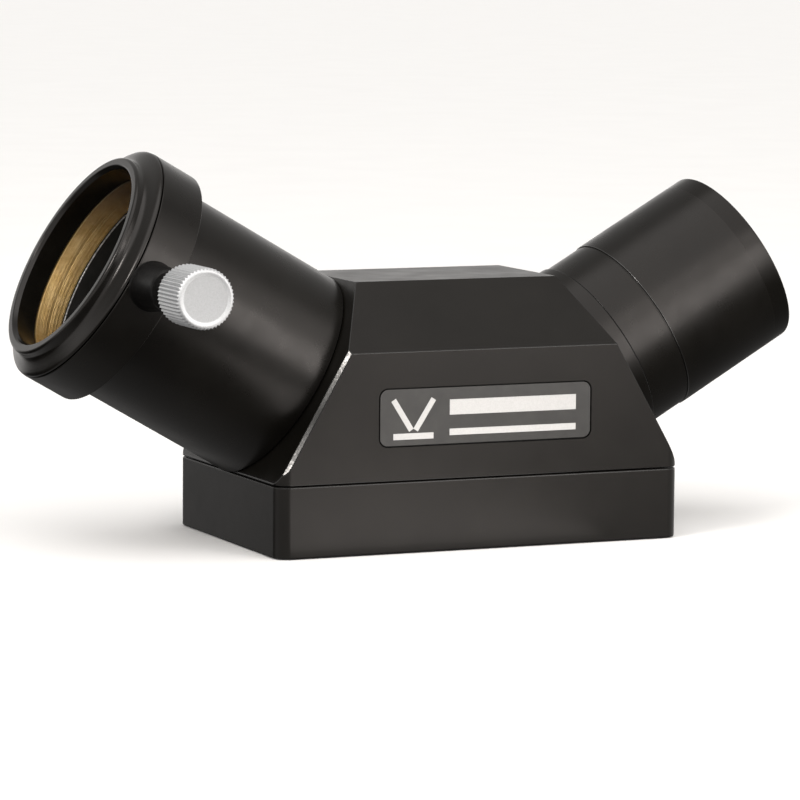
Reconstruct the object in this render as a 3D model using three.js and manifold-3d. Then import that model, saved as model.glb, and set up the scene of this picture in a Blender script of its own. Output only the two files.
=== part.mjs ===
// Star diagonal for 2-inch telescope fittings: two tubes rise at 30 degrees from a machined
// housing, and a flat mirror in the base plate turns the light from one tube into the other.
// Millimetres, +Z up. The origin is the centre of the base plate's underside. The nosepiece
// points to +X, the eyepiece socket to -X, and the thumbscrew to -Y.
import * as THREE from 'three';
import { mergeVertices } from 'three/addons/utils/BufferGeometryUtils.js';
import Module from 'manifold-3d';

const wasm = await Module();
wasm.setup();

// ---------------------------------------------------------------- driving dimensions
const armTilt = THREE.MathUtils.degToRad(30);     // rise of both tube axes above the base
const gap = 0.3;                                  // clearance between neighbouring pieces
const cut = 5;                                    // how far a cutting body runs past a face

const base = { length: 115.8, width: 71.1, height: 18.7, corner: 4, bevel: 0.5 };
const wallFoot = 8;                               // thickness of the housing's end walls
const housing = {
  bottom: base.height + gap,
  top: 69.4,
  topWidth: 35.5,
  shoulder: 52.6,                                 // height where the side faces turn inwards
  slopeStart: 19.4,                               // height where the end faces turn inwards
  edgeChamfer: 1,
  cavityHalfWidth: 26.5,
  roofThickness: 6,
  chamferThickness: 7,
};
const mirror = { length: 98, width: 47, thickness: 12.5, corner: 3, face: 18.6 };
const pocket = { clearance: 1, floor: 5.3 };
const pad = { radius: 6, spreadX: 34, offsetY: 12 };
const screw = {
  x: 46, y: 30, headRadius: 3.5, headHeight: 4, headRecess: 0.6, shankRadius: 2,
  tip: 28, socketRadius: 1.75, socketDepth: 2.2,
  holeRadius: 2.35, holeTop: 30, counterboreRadius: 3.85,
};

// Distances along a tube's axis are measured from the mirror's face.
const slope = Math.cos(armTilt) * base.length / 2
  + Math.sin(armTilt) * (housing.slopeStart - mirror.face);
const tube = {
  radius: 29.1, spigotRadius: 25, bore: 25.6, throat: 23.4,
  spigotStart: 44.9, ledge: 66, collarSeat: 27.6,
};
const collar = { start: 99.4, end: 111.5, radius: 33.1, bore: 27.9, bevel: 0.3 };
const clampRing = { start: 102.8, end: 110.2, inner: 25.5, outer: 27, split: 3 };
const rim = { start: 111.8, end: 117, spigotStart: 110.5, bore: 25.7, lip: 28.8, radius: 33 };
// The front ring's rounded shoulder: drop below the full radius, and distance from its start.
const rimShoulder = [[0.3, 0], [0, 0.3], [0.3, 0.9], [1.1, 1.6], [2.5, 2.5], [3.7, 3.1]];
const flange = { start: 46.2, end: 57.4, radius: 25.7, bore: 24.2 };
const barrel = {
  start: 46.6, end: 105.4, radius: 25.4, undercutRadius: 25.13, undercutEnd: 69.8,
  tailRadius: 23.9, bore: 22.4, filterBore: 23.8, filterDepth: 7, bevel: 0.5,
};

// The thumbscrew's parts are measured outwards from the eyepiece tube's axis, towards -Y.
const thumbscrew = {
  along: (collar.start + collar.end) / 2,
  bossTop: 45.5, bossTopRadius: 5.4, bossFootRadius: 6.2, bossBore: 2.7,
  spigotRadius: 4, spigotStart: 28.4,
  tipStart: 27.6, tipEnd: 31.4, tipRadius: 2.4,
  shankStart: 31.7, shankEnd: 66, shankRadius: 2.4,
  knobStart: 55.6, knobEnd: 69.6, knobRadius: 7.7, knobChamfer: 0.6,
  dishRadius: 5.9, dishDepth: 0.5, socketRadius: 2.7,
};
const nameplate = {
  length: 60.6, height: 14.8, corner: 2.2, thickness: 0.8, centreX: 0.7, centreZ: 35.5,
  margin: 0.3, recess: 1.2,
};

// ---------------------------------------------------------------- finishes
const finish = (color, metalness, roughness) =>
  new THREE.MeshStandardMaterial({ color, metalness, roughness });
const blackAnodised = finish(0x3a3733, 0.6, 0.42);
const glossBlack = finish(0x2b2927, 0.6, 0.25);
const brass = finish(0xb0925a, 0.9, 0.35);
const silver = finish(0xcecdcb, 0.9, 0.35);
const screwBlack = finish(0x1c1b1a, 0.7, 0.4);
const nylon = finish(0xe6e2d6, 0, 0.5);
const mirrorCoating = finish(0xdfe6ea, 1, 0.03);
const silicone = finish(0x8f8f8c, 0, 0.7);
const plateBlack = finish(0x232120, 0.3, 0.2);

// ---------------------------------------------------------------- solids and booleans
const roundSegments = 56;
const smallSegments = 24;
const hexagon = 6;
const cornerSegments = 4;

// A closed mesh becomes a manifold solid; its vertices are merged by position first, and an
// inside-out mesh is turned round.
function solid(geometry) {
  const bare = geometry.index ? geometry.toNonIndexed() : geometry.clone();
  bare.deleteAttribute('normal');
  bare.deleteAttribute('uv');
  const merged = mergeVertices(bare, 1e-4);
  const corners = merged.index.array;
  const triangles = [];
  for (let i = 0; i < corners.length; i += 3) {
    const [a, b, c] = [corners[i], corners[i + 1], corners[i + 2]];
    if (a !== b && b !== c && c !== a) triangles.push(a, b, c);
  }
  if (signedVolume(merged.attributes.position, triangles) < 0) {
    triangles.reverse();
  }
  return new wasm.Manifold(new wasm.Mesh({
    numProp: 3,
    vertProperties: new Float32Array(merged.attributes.position.array),
    triVerts: new Uint32Array(triangles),
  }));
}

function signedVolume(position, triangles) {
  const [a, b, c] = [new THREE.Vector3(), new THREE.Vector3(), new THREE.Vector3()];
  let volume = 0;
  for (let i = 0; i < triangles.length; i += 3) {
    a.fromBufferAttribute(position, triangles[i]);
    b.fromBufferAttribute(position, triangles[i + 1]);
    c.fromBufferAttribute(position, triangles[i + 2]);
    volume += a.dot(b.cross(c)) / 6;
  }
  return volume;
}

function geometryOf(manifold) {
  const mesh = manifold.getMesh();
  const geometry = new THREE.BufferGeometry();
  geometry.setAttribute('position', new THREE.BufferAttribute(mesh.vertProperties, 3));
  geometry.setIndex(new THREE.BufferAttribute(mesh.triVerts, 1));
  geometry.computeVertexNormals();
  return geometry;
}

const moved = (manifold, x, y, z) => manifold.translate([x, y, z]);

// A solid of revolution about Z from [radius, height] corners; a profile that doesn't touch
// the axis closes on itself.
function turned(profile, segments = roundSegments) {
  const points = profile.map(([radius, height]) => new THREE.Vector2(radius, height));
  const touchesAxis = profile[0][0] === 0;
  if (!touchesAxis) points.push(points[0].clone());
  return solid(new THREE.LatheGeometry(points, segments).rotateX(Math.PI / 2));
}

const rod = (radius, from, to, segments = roundSegments) =>
  turned([[0, from], [radius, from], [radius, to], [0, to]], segments);

const ring = (inner, outer, from, to, segments = roundSegments) =>
  turned([[inner, from], [outer, from], [outer, to], [inner, to]], segments);

function roundedRectangle(length, width, radius) {
  const shape = new THREE.Shape();
  const x = length / 2 - radius;
  const y = width / 2 - radius;
  shape.absarc(x, y, radius, 0, Math.PI / 2);
  shape.absarc(-x, y, radius, Math.PI / 2, Math.PI);
  shape.absarc(-x, -y, radius, Math.PI, 1.5 * Math.PI);
  shape.absarc(x, -y, radius, 1.5 * Math.PI, 2 * Math.PI);
  return shape;
}

// Prisms: a plan outline stood up on Z, and a side outline (x, z) run across Y.
const prism = (shape, depth) =>
  new THREE.ExtrudeGeometry(shape, { depth, bevelEnabled: false, curveSegments: cornerSegments });

const upright = (shape, from, to) => moved(solid(prism(shape, to - from)), 0, 0, from);

const across = (shape, width) => solid(
  prism(shape, width)
    .translate(0, 0, -width / 2)
    .rotateX(Math.PI / 2));

const outline = (points) => new THREE.Shape(points.map(([x, y]) => new THREE.Vector2(x, y)));

// The frames of the two tubes: local Z runs out along the tube from the mirror's face.
const eyepieceFrame = new THREE.Matrix4().makeRotationY(armTilt - Math.PI / 2)
  .setPosition(0, 0, mirror.face);
const noseFrame = new THREE.Matrix4().makeRotationY(Math.PI / 2 - armTilt)
  .setPosition(0, 0, mirror.face);
// The thumbscrew's frame, inside the eyepiece tube's: local Z runs out to -Y.
const screwFrame = new THREE.Matrix4().makeRotationX(Math.PI / 2)
  .setPosition(0, 0, thumbscrew.along);

const placed = (manifold, matrix) => manifold.transform(matrix.elements);

// ---------------------------------------------------------------- base plate and mirror
function basePlate() {
  const { length, width, height, corner, bevel } = base;
  const lower = roundedRectangle(length - 2 * bevel, width - 2 * bevel, corner - bevel);
  const full = roundedRectangle(length, width, corner);
  const block = upright(full, bevel, height - bevel)
    .add(upright(lower, 0, height));
  const recess = roundedRectangle(mirror.length + 2 * pocket.clearance,
    mirror.width + 2 * pocket.clearance, mirror.corner + pocket.clearance);
  return block
    .subtract(upright(recess, pocket.floor, height + cut))
    .subtract(atCorners(rod(screw.holeRadius, -cut, height + cut, smallSegments)))
    .subtract(atCorners(rod(screw.counterboreRadius, -cut, screw.headRecess + screw.headHeight,
      smallSegments)));
}

const cornerPlaces = [[-1, -1], [1, -1], [1, 1], [-1, 1]]
  .map(([sideX, sideY]) => [sideX * screw.x, sideY * screw.y]);

function atCorners(body) {
  return cornerPlaces
    .map(([x, y]) => moved(body, x, y, 0))
    .reduce((all, one) => all.add(one));
}

function baseScrew() {
  const { headRadius, headHeight, headRecess, shankRadius, tip, socketRadius, socketDepth } = screw;
  const under = headRecess + headHeight;
  const bodyOfScrew = turned([
    [0, headRecess], [headRadius, headRecess], [headRadius, under],
    [shankRadius, under], [shankRadius, tip], [0, tip],
  ], smallSegments);
  const hexSocket = turned([
    [0, headRecess - cut], [socketRadius, headRecess - cut],
    [socketRadius, headRecess + socketDepth], [0, headRecess + socketDepth],
  ], hexagon);
  return bodyOfScrew.subtract(hexSocket);
}

const mirrorBack = mirror.face - mirror.thickness;
const mirrorBody = () =>
  upright(roundedRectangle(mirror.length, mirror.width, mirror.corner), mirrorBack, mirror.face);

const mirrorPad = () => rod(pad.radius, pocket.floor, mirrorBack, smallSegments);
const padPlaces = [
  [-pad.spreadX, -pad.offsetY],
  [-pad.spreadX, pad.offsetY],
  [pad.spreadX, 0],
];

// ---------------------------------------------------------------- housing
const slopeRun = (height) => (height - housing.slopeStart) * Math.tan(armTilt);

// The block's side view: a foot as long as the base, and end faces square to the tubes.
function endProfile(inset, from, to) {
  const foot = base.length / 2 - inset / Math.cos(armTilt);
  return outline([
    [-foot, from], [foot, from], [foot, Math.max(from, housing.slopeStart)],
    [foot - slopeRun(to), to], [-foot + slopeRun(to), to],
    [-foot, Math.max(from, housing.slopeStart)],
  ].filter(([x, z], i, all) => i === 0 || x !== all[i - 1][0] || z !== all[i - 1][1]));
}

// The block's end view (y, z), with the two long chamfers along its top edges, run along X.
function alongX(points, length) {
  return solid(new THREE.ExtrudeGeometry(outline(points), { depth: length, bevelEnabled: false })
    .translate(0, 0, -length / 2)
    .rotateX(Math.PI / 2)
    .rotateZ(Math.PI / 2));
}

function outerShell() {
  const { bottom, top, shoulder, topWidth } = housing;
  const half = base.width / 2;
  const section = [
    [-half, bottom], [half, bottom], [half, shoulder], [topWidth / 2, top],
    [-topWidth / 2, top], [-half, shoulder],
  ];
  return across(endProfile(0, bottom, top), base.width + cut)
    .intersect(alongX(section, base.length + cut))
    .intersect(upright(roundedRectangle(base.length, base.width, base.corner), bottom, top));
}

// One end's chamfered edges: a bar that lies behind the end face, with its outer edges cut.
function edgeTrimmer(frame) {
  const half = base.width / 2;
  const leg = housing.edgeChamfer;
  const section = outline([
    [-half, -base.length], [half, -base.length], [half, slope - leg], [half - leg, slope],
    [leg - half, slope], [-half, slope - leg],
  ]);
  const bar = solid(new THREE.ExtrudeGeometry(section, { depth: 4 * base.length, bevelEnabled: false })
    .translate(0, 0, -2 * base.length)
    .rotateX(Math.PI / 2)
    .rotateZ(Math.PI / 2));
  return placed(bar, frame);
}

function cavity() {
  const { bottom, top, roofThickness, shoulder, topWidth, cavityHalfWidth, chamferThickness } = housing;
  const roof = top - roofThickness;
  const run = base.width / 2 - topWidth / 2;
  const rise = top - shoulder;
  const faceLength = Math.hypot(run, rise);
  const inner = (rise * base.width / 2 + run * shoulder) / faceLength - chamferThickness;
  const roofHalf = (inner * faceLength - run * roof) / rise;
  const springing = (inner * faceLength - rise * cavityHalfWidth) / run;
  const section = [
    [-cavityHalfWidth, bottom - cut], [cavityHalfWidth, bottom - cut], [cavityHalfWidth, springing],
    [roofHalf, roof], [-roofHalf, roof], [-cavityHalfWidth, springing],
  ];
  return across(endProfile(wallFoot, bottom - cut, roof), base.width)
    .intersect(alongX(section, base.length));
}

function housingBody() {
  const holeThroughWall = (radius) => rod(radius, slope - wallFoot - cut, slope + cut);
  const plateRecess = upright(roundedRectangle(
    nameplate.length + 2 * nameplate.margin,
    nameplate.height + 2 * nameplate.margin,
    nameplate.corner + nameplate.margin), -nameplate.recess, cut);
  return outerShell()
    .intersect(edgeTrimmer(eyepieceFrame))
    .intersect(edgeTrimmer(noseFrame))
    .subtract(cavity())
    .subtract(placed(holeThroughWall(tube.spigotRadius + gap), eyepieceFrame))
    .subtract(placed(holeThroughWall(flange.radius + gap), noseFrame))
    .subtract(atCorners(rod(screw.holeRadius, 0, screw.holeTop, smallSegments)))
    .subtract(placed(plateRecess, plateFrame));
}

// The nameplate's frame: local Z points out of the near side face.
const plateFrame = new THREE.Matrix4().makeRotationX(Math.PI / 2)
  .setPosition(nameplate.centreX, -base.width / 2, nameplate.centreZ);

const nameplateBody = () => upright(
  roundedRectangle(nameplate.length, nameplate.height, nameplate.corner),
  gap - nameplate.recess, gap + nameplate.thickness - nameplate.recess);

// ---------------------------------------------------------------- eyepiece side
const eyepieceTube = () => turned([
  [tube.throat, tube.spigotStart],
  [tube.spigotRadius, tube.spigotStart],
  [tube.spigotRadius, slope + gap],
  [tube.radius - 0.2, slope + gap],
  [tube.radius, slope + gap + 0.2],
  [tube.radius, collar.start - gap],
  [tube.collarSeat, collar.start - gap],
  [tube.collarSeat, clampRing.start - gap],
  [tube.bore, clampRing.start - gap],
  [tube.bore, tube.ledge],
  [tube.throat, tube.ledge],
]);

const clampCollar = () => turned([
  [collar.bore, collar.start],
  [collar.radius - collar.bevel, collar.start],
  [collar.radius, collar.start + collar.bevel],
  [collar.radius, collar.end - collar.bevel],
  [collar.radius - collar.bevel, collar.end],
  [collar.bore, collar.end],
]).subtract(placed(rod(thumbscrew.spigotRadius + gap, collar.bore - cut, collar.radius + cut,
  smallSegments), screwFrame));

// The front ring: a spigot inside the collar, a rounded shoulder and a thinner lip.
const frontRing = () => turned([
  [rim.bore, rim.spigotStart],
  [collar.bore - gap, rim.spigotStart],
  [collar.bore - gap, rim.start],
  ...rimShoulder.map(([drop, along]) => [rim.radius - drop, rim.start + along]),
  [rim.lip, rim.start + 3.5],
  [rim.lip, rim.end - 0.6],
  [rim.lip - 0.6, rim.end],
  [rim.bore + 0.9, rim.end],
  [rim.bore, rim.end - 0.9],
]);

// The brass ring is split underneath, a quarter of a turn from the thumbscrew.
function brassRing() {
  const { inner, outer, start, end, split } = clampRing;
  const slot = new THREE.BoxGeometry(2 * cut, split, end - start + 2 * cut)
    .translate(-(inner + outer) / 2, 0, (start + end) / 2);
  return ring(inner, outer, start, end).subtract(solid(slot));
}

// ---------------------------------------------------------------- thumbscrew
function screwBoss() {
  const s = thumbscrew;
  const bush = turned([
    [s.bossBore, s.spigotStart], [s.spigotRadius, s.spigotStart],
    [s.spigotRadius, collar.radius + gap], [s.bossFootRadius, collar.radius + gap - 1],
    [s.bossTopRadius, s.bossTop - 0.4], [s.bossTopRadius - 0.4, s.bossTop],
    [s.bossBore, s.bossTop],
  ], smallSegments);
  const collarSkin = ring(collar.bore, collar.radius + gap, collar.start - cut, collar.end + cut)
    .subtract(placed(rod(s.spigotRadius, collar.bore - cut, collar.radius + cut, smallSegments),
      screwFrame));
  const outwards = screwFrame.clone().invert();
  return bush.subtract(placed(collarSkin, outwards));
}

const nylonTip = () =>
  rod(thumbscrew.tipRadius, thumbscrew.tipStart, thumbscrew.tipEnd, smallSegments);

const screwShank = () =>
  rod(thumbscrew.shankRadius, thumbscrew.shankStart, thumbscrew.shankEnd, smallSegments);

const knob = () => {
  const s = thumbscrew;
  return turned([
    [s.socketRadius, s.knobStart],
    [s.knobRadius - s.knobChamfer, s.knobStart],
    [s.knobRadius, s.knobStart + s.knobChamfer],
    [s.knobRadius, s.knobEnd - s.knobChamfer],
    [s.knobRadius - s.knobChamfer, s.knobEnd],
    [s.dishRadius, s.knobEnd],
    [s.dishRadius - s.dishDepth, s.knobEnd - s.dishDepth],
    [0, s.knobEnd - s.dishDepth],
    [0, s.shankEnd + gap],
    [s.socketRadius, s.shankEnd + gap],
  ], 2 * smallSegments);
};

// ---------------------------------------------------------------- nosepiece
const noseFlange = () => ring(flange.bore, flange.radius, flange.start, flange.end);

const noseBarrel = () => turned([
  [barrel.bore, barrel.start],
  [barrel.tailRadius, barrel.start],
  [barrel.tailRadius, flange.end + gap],
  [barrel.undercutRadius, flange.end + gap],
  [barrel.undercutRadius, barrel.undercutEnd],
  [barrel.radius, barrel.undercutEnd],
  [barrel.radius, barrel.end - barrel.bevel],
  [barrel.radius - barrel.bevel, barrel.end],
  [barrel.filterBore, barrel.end],
  [barrel.filterBore, barrel.end - barrel.filterDepth],
  [barrel.bore, barrel.end - barrel.filterDepth],
]);

// ---------------------------------------------------------------- assembly
const diagonal = new THREE.Group();

function group(parent, matrix) {
  const frame = new THREE.Group();
  frame.applyMatrix4(matrix);
  parent.add(frame);
  return frame;
}

function piece(parent, name, manifold, material, position = [0, 0, 0]) {
  const mesh = new THREE.Mesh(geometryOf(manifold), material);
  mesh.name = name;
  mesh.position.set(...position);
  parent.add(mesh);
}

piece(diagonal, 'base_plate', basePlate(), blackAnodised);
piece(diagonal, 'housing', housingBody(), blackAnodised);
piece(diagonal, 'mirror', mirrorBody(), mirrorCoating);
padPlaces.forEach(([x, y], i) =>
  piece(diagonal, `mirror_pad_${i + 1}`, mirrorPad(), silicone, [x, y, 0]));
cornerPlaces.forEach(([x, y], i) =>
  piece(diagonal, `base_screw_${i + 1}`, baseScrew(), screwBlack, [x, y, 0]));

const plateSide = group(diagonal, plateFrame);
piece(plateSide, 'nameplate', nameplateBody(), plateBlack);

const eyepieceArm = group(diagonal, eyepieceFrame);
piece(eyepieceArm, 'eyepiece_tube', eyepieceTube(), blackAnodised);
piece(eyepieceArm, 'clamp_collar', clampCollar(), blackAnodised);
piece(eyepieceArm, 'front_lip_ring', frontRing(), glossBlack);
piece(eyepieceArm, 'brass_clamp_ring', brassRing(), brass);

const screwAxis = group(eyepieceArm, screwFrame);
piece(screwAxis, 'screw_boss', screwBoss(), screwBlack);
piece(screwAxis, 'thumbscrew_tip', nylonTip(), nylon);
piece(screwAxis, 'thumbscrew_shank', screwShank(), silver);
piece(screwAxis, 'thumbscrew_knob', knob(), silver);

const noseArm = group(diagonal, noseFrame);
piece(noseArm, 'nosepiece_flange', noseFlange(), blackAnodised);
piece(noseArm, 'nosepiece_barrel', noseBarrel(), blackAnodised);

export default diagonal;
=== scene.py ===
"""The finished look of a 2-inch star diagonal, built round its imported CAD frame.

Inside this script lengths are millimetres, and finished() scales each mesh to metres. Heights
along a tube are measured from the point where the two tube axes cross on the mirror's face.
"""
import math

import bmesh
import bpy
from mathutils import Matrix, Vector


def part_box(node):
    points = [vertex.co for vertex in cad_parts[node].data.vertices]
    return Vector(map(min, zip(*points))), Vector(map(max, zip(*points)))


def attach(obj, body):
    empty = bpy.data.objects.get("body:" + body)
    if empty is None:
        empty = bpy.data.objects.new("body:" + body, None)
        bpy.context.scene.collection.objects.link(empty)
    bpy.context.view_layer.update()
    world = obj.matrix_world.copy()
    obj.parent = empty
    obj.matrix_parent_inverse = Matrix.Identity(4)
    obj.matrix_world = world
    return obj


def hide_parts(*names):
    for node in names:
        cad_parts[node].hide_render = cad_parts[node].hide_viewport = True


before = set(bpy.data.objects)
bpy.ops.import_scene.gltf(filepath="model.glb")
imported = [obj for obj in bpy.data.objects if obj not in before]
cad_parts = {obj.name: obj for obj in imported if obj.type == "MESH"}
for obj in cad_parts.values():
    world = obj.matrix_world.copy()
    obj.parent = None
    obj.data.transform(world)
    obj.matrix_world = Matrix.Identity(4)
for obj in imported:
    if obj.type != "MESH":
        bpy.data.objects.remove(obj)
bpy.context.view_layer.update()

MM = 0.001
TURN = 2 * math.pi
UP = Vector((0, 0, 1))

# ---------------------------------------------------------------- places, from the frame


def cad_box(node):
    """A CAD node's lowest and highest corner, in millimetres."""
    low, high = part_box(node)
    return Vector(low) / MM, Vector(high) / MM


def cad_span(node, place):
    """A CAD node's first and last height and widest radius about the Z axis of a placing matrix."""
    inverse = place.inverted()
    points = [inverse @ (v.co / MM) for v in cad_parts[node].data.vertices]
    heights = [p.z for p in points]
    return min(heights), max(heights), max(math.hypot(p.x, p.y) for p in points)


def standing(x=0, y=0, z=0):
    """A placing matrix that keeps the row's own directions."""
    return Matrix.Translation((x, y, z))


def tube_place(side):
    """Local Z runs out along a tube, side -1 for the eyepiece's and +1 for the nosepiece's."""
    z_axis = Vector((side * math.cos(TILT), 0, math.sin(TILT)))
    y_axis = Vector((0, 1, 0))
    axes = Matrix((y_axis.cross(z_axis), y_axis, z_axis)).transposed().to_4x4()
    return standing(*CROSSING) @ axes


TILT = math.radians(30)
base_low, base_high = cad_box("base_plate")
house_low, house_high = cad_box("housing")
mirror_low, mirror_high = cad_box("mirror")
plate_low, plate_high = cad_box("nameplate")
CROSSING = Vector((0, 0, mirror_high.z))
EYE = tube_place(-1)
NOSE = tube_place(1)

tube_start, tube_end, tube_radius = cad_span("eyepiece_tube", EYE)
collar_start, collar_end, collar_radius = cad_span("clamp_collar", EYE)
rim_start, rim_end, rim_radius = cad_span("front_lip_ring", EYE)
brass_start, brass_end, brass_radius = cad_span("brass_clamp_ring", EYE)
flange_start, flange_end, flange_radius = cad_span("nosepiece_flange", NOSE)
barrel_start, barrel_end, barrel_radius = cad_span("nosepiece_barrel", NOSE)

# Local Z of the thumbscrew's place runs out to -Y, and its Y along the eyepiece tube.
SCREW = EYE @ standing(z=(collar_start + collar_end) / 2) @ Matrix.Rotation(math.pi / 2, 4, "X")
boss_start, boss_end, _ = cad_span("screw_boss", SCREW)
shank_start, shank_end, shank_radius = cad_span("thumbscrew_shank", SCREW)
knob_start, knob_end, knob_radius = cad_span("thumbscrew_knob", SCREW)
tip_start, tip_end, tip_radius = cad_span("thumbscrew_tip", SCREW)

# ---------------------------------------------------------------- the camera and the light

TARGET = Vector((-8.2, 0, 35.6))
CAMERA_AZIMUTH = -24.02
CAMERA_ELEVATION = 6.64
CAMERA_ROLL = 0.47
CAMERA_DISTANCE = 1170.9
CAMERA_LENS = 196.93
LAMP_COLOUR = (1, 0.955, 0.915)
SKY_COLOUR = (1, 0.977, 0.955, 1)
LAMP_SPREAD = 4  # Blender spreads an area light's watts over four times its area
FLOOR_REACH = 6000
FLOOR_GAP = 0.2


def direction(azimuth, elevation):
    """A unit vector from the object, in degrees: azimuth 0 is towards -Y, and 90 towards +X."""
    azimuth = math.radians(azimuth)
    elevation = math.radians(elevation)
    flat = math.cos(elevation)
    return Vector((math.sin(azimuth) * flat, -math.cos(azimuth) * flat, math.sin(elevation)))


def make_camera():
    data = bpy.data.cameras.new("camera")
    data.lens = CAMERA_LENS
    data.clip_start = 0.01
    data.clip_end = 20
    camera = bpy.data.objects.new("camera", data)
    back = direction(CAMERA_AZIMUTH, CAMERA_ELEVATION)
    level = UP.cross(back).normalized()
    turned_level = Matrix.Rotation(math.radians(CAMERA_ROLL), 3, back) @ level
    axes = Matrix((turned_level, back.cross(turned_level), back)).transposed().to_4x4()
    camera.matrix_world = Matrix.Translation((TARGET + back * CAMERA_DISTANCE) * MM) @ axes
    bpy.context.collection.objects.link(camera)
    bpy.context.scene.camera = camera


def area_light(name, size, radiance):
    """A rectangular light that the camera doesn't see, with its size in metres."""
    data = bpy.data.lights.new(name, "AREA")
    data.shape = "RECTANGLE"
    data.size, data.size_y = size
    data.energy = LAMP_SPREAD * size[0] * size[1] * radiance
    data.color = LAMP_COLOUR
    lamp = bpy.data.objects.new(name, data)
    lamp.visible_camera = False
    bpy.context.collection.objects.link(lamp)
    return lamp


def soft_box(name, azimuth, elevation, distance, size, radiance):
    """A light that faces the object; angles in degrees, distance and size in metres."""
    lamp = area_light(name, size, radiance)
    towards = direction(azimuth, elevation)
    lamp.location = TARGET * MM + towards * distance
    lamp.rotation_mode = "QUATERNION"
    lamp.rotation_quaternion = towards.to_track_quat("Z", "Y")


def low_glow(name, centre, size, radiance):
    """A light that lies on the floor and faces up, as a lit white card would; centre in mm."""
    lamp = area_light(name, size, radiance)
    lamp.location = Vector((*centre, base_low.z)) * MM
    lamp.rotation_euler = (math.pi, 0, 0)


def make_lights():
    soft_box("front_panel", 24, 12, 0.45, (0.15, 0.2), 4.7)
    low_glow("bounce_card", (-5, -105), (0.09, 0.12), 1.9)
    soft_box("front_fill", 5, 32, 1.3, (0.7, 0.4), 2.8)
    soft_box("right_panel", 55, 22, 1.5, (1.2, 0.7), 1.6)
    soft_box("left_flash", -61, 33, 1.3, (0.26, 0.26), 22)


SKY = [
    # (axis, its cosines where the level starts and stops to change, level before, level after)
    (UP, (-0.30, -0.08), -0.92, 0.0),  # dark below the horizon
    (UP, (0.17, 0.42), 1.06, 0.5),  # white round the horizon, grey above
    (direction(-35, 68), (0.72, 0.90), 0.0, 1.7),  # a soft light overhead
    (direction(-130, -50), (0.5, 0.85), 0.0, 0.2),  # a faint glow from below, at the back
    (direction(-140, -15), (0.86, 0.97), 0.0, -1.0),  # a dark patch at the back
]
DARKEST_SKY = 0.03


def make_world():
    """A surround whose brightness is the sum of the levels in SKY."""
    world = bpy.data.worlds.new("studio")
    world.use_nodes = True
    nodes = world.node_tree.nodes
    links = world.node_tree.links

    def maths(operation, one, two):
        made = nodes.new("ShaderNodeMath")
        made.operation = operation
        for socket, value in zip(made.inputs, (one, two)):
            if isinstance(value, bpy.types.NodeSocket):
                links.new(value, socket)
            else:
                socket.default_value = value
        return made.outputs[0]

    background = nodes["Background"]
    background.inputs["Color"].default_value = SKY_COLOUR
    where = nodes.new("ShaderNodeTexCoord").outputs["Generated"]
    total = 0
    for axis, edges, before, after in SKY:
        height = nodes.new("ShaderNodeVectorMath")
        height.operation = "DOT_PRODUCT"
        height.inputs[1].default_value = axis
        links.new(where, height.inputs[0])
        level = nodes.new("ShaderNodeMapRange")
        level.interpolation_type = "SMOOTHSTEP"
        level.inputs["From Min"].default_value, level.inputs["From Max"].default_value = edges
        level.inputs["To Min"].default_value = before
        level.inputs["To Max"].default_value = after
        links.new(height.outputs["Value"], level.inputs["Value"])
        total = maths("ADD", level.outputs["Result"], total)
    links.new(maths("MAXIMUM", total, DARKEST_SKY), background.inputs["Strength"])
    bpy.context.scene.world = world


def make_stage():
    """A pale floor that takes shadows. The black parts don't mirror it, so they stay dark below."""
    corners = [(-1, -1), (1, -1), (1, 1), (-1, 1)]
    mesh = bpy.data.meshes.new("floor")
    mesh.from_pydata([Vector((x * FLOOR_REACH, y * FLOOR_REACH, base_low.z - FLOOR_GAP)) * MM
                      for x, y in corners], [], [(0, 1, 2, 3)])
    mesh.materials.append(floor_paper("floor_paper", (0.88, 0.88, 0.875)))
    floor = bpy.data.objects.new("floor", mesh)
    floor.visible_glossy = False
    floor.visible_diffuse = False
    bpy.context.collection.objects.link(floor)


# ---------------------------------------------------------------- materials


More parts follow.
